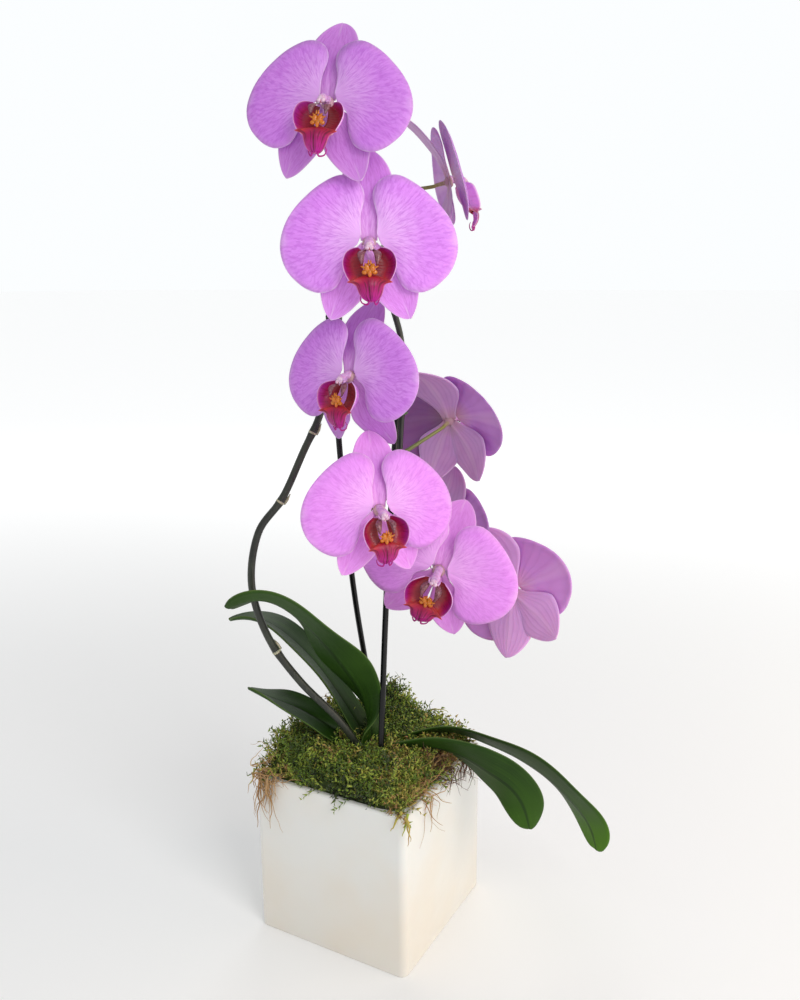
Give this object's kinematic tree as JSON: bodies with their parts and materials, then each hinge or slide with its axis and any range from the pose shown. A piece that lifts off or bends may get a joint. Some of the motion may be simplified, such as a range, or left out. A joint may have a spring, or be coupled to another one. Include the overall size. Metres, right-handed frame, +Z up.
{
  "type": "potted orchid",
  "caption": "Moth orchid with a staked, arching spike of mauve flowers, strap leaves and moss, in a square white glazed ceramic pot.",
  "frame": {"origin": "middle of the pot's underside, on the surface that it stands on", "axes": "+Z up; X and Y square to the pot's walls, with the long right-hand leaf reaching towards +X"},
  "size_m": [0.2634, 0.187, 0.6398],
  "materials": {
    "glazed_ceramic": "gloss",
    "bark": "matte",
    "moss": "matte",
    "leaf": "satin",
    "stem": "satin",
    "stake": "gloss",
    "tie": "matte",
    "petal": "satin",
    "sepal": "satin",
    "lip": "satin",
    "column": "satin"
  },
  "bodies": {
    "root": {"pot": "glazed_ceramic", "growing_medium": "bark", "moss": "moss", "crown": "leaf", "leaf_left_tall": "leaf", "leaf_left_back": "leaf", "leaf_left_low": "leaf", "leaf_right_long": "leaf", "leaf_right_short": "leaf", "flower_spike": "stem", "stake_left": "stake", "stake_right": "stake", "tie_left": "tie", "tie_right": "tie", "flower_1_sepals": "sepal", "flower_1_petal_left": "petal", "flower_1_petal_right": "petal", "flower_1_column": "column", "flower_1_lip": "lip", "flower_2_sepals": "sepal", "flower_2_petal_left": "petal", "flower_2_petal_right": "petal", "flower_2_column": "column", "flower_2_lip": "lip", "flower_3_sepals": "sepal", "flower_3_petal_left": "petal", "flower_3_petal_right": "petal", "flower_3_column": "column", "flower_3_lip": "lip", "flower_4_sepals": "sepal", "flower_4_petal_left": "petal", "flower_4_petal_right": "petal", "flower_4_column": "column", "flower_4_lip": "lip", "flower_5_sepals": "sepal", "flower_5_petal_left": "petal", "flower_5_petal_right": "petal", "flower_5_column": "column", "flower_5_lip": "lip", "flower_6_sepals": "sepal", "flower_6_petal_left": "petal", "flower_6_petal_right": "petal", "flower_6_column": "column", "flower_6_lip": "lip", "flower_7_sepals": "sepal", "flower_7_petal_left": "petal", "flower_7_petal_right": "petal", "flower_7_column": "column", "flower_7_lip": "lip", "flower_8_sepals": "sepal", "flower_8_petal_left": "petal", "flower_8_petal_right": "petal", "flower_8_column": "column", "flower_8_lip": "lip", "flower_9_sepals": "sepal", "flower_9_petal_left": "petal", "flower_9_petal_right": "petal", "flower_9_column": "column", "flower_9_lip": "lip"}
  },
  "joints": []
}
